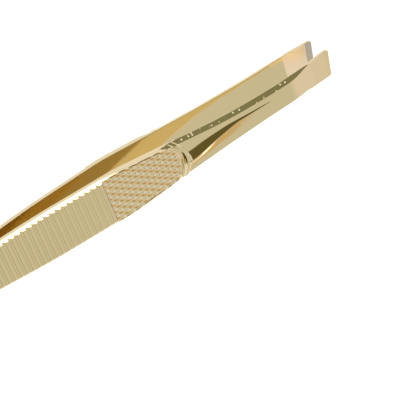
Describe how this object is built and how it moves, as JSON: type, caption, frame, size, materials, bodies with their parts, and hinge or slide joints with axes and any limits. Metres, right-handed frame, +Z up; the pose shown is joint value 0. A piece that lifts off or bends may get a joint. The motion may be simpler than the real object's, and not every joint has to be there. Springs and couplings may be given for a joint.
{
  "type": "slant-tip tweezers",
  "caption": "Gold-plated sprung steel beauty tweezers with ribbed and knurled finger grips, a short spine and bent slanted tips, joined by a weld at the tail",
  "frame": {"origin": "middle of the footprint, on the surface the lower edges of the grips rest on", "axes": "+X from the welded tail to the tips, +Y towards the left arm, +Z up across the width of the arms"},
  "size_m": [0.098, 0.0096, 0.0095],
  "materials": {
    "gold_plate": "polished gold plating on spring steel",
    "weld_seam": "welded seam, polished flush and gold plated"
  },
  "bodies": {
    "tail": {"tail_weld": "weld_seam"},
    "left": {"left_arm": "gold_plate"},
    "right": {"right_arm": "gold_plate"}
  },
  "joints": [
    {"name": "squeeze_left", "type": "hinge", "parent": "tail", "child": "left", "pos_m": [-0.0385, 0.00088, 0.00475], "axis": [0, 0, -1], "range_deg": [0, 1.67], "stiffness_Nm_per_rad": 2.5},
    {"name": "squeeze_right", "type": "hinge", "parent": "tail", "child": "right", "pos_m": [-0.0385, -0.00088, 0.00475], "axis": [0, 0, 1], "range_deg": [0, 1.67], "stiffness_Nm_per_rad": 2.5}
  ],
  "couplings": [
    {"joint": "squeeze_right", "follows": "squeeze_left", "ratio": 1}
  ]
}
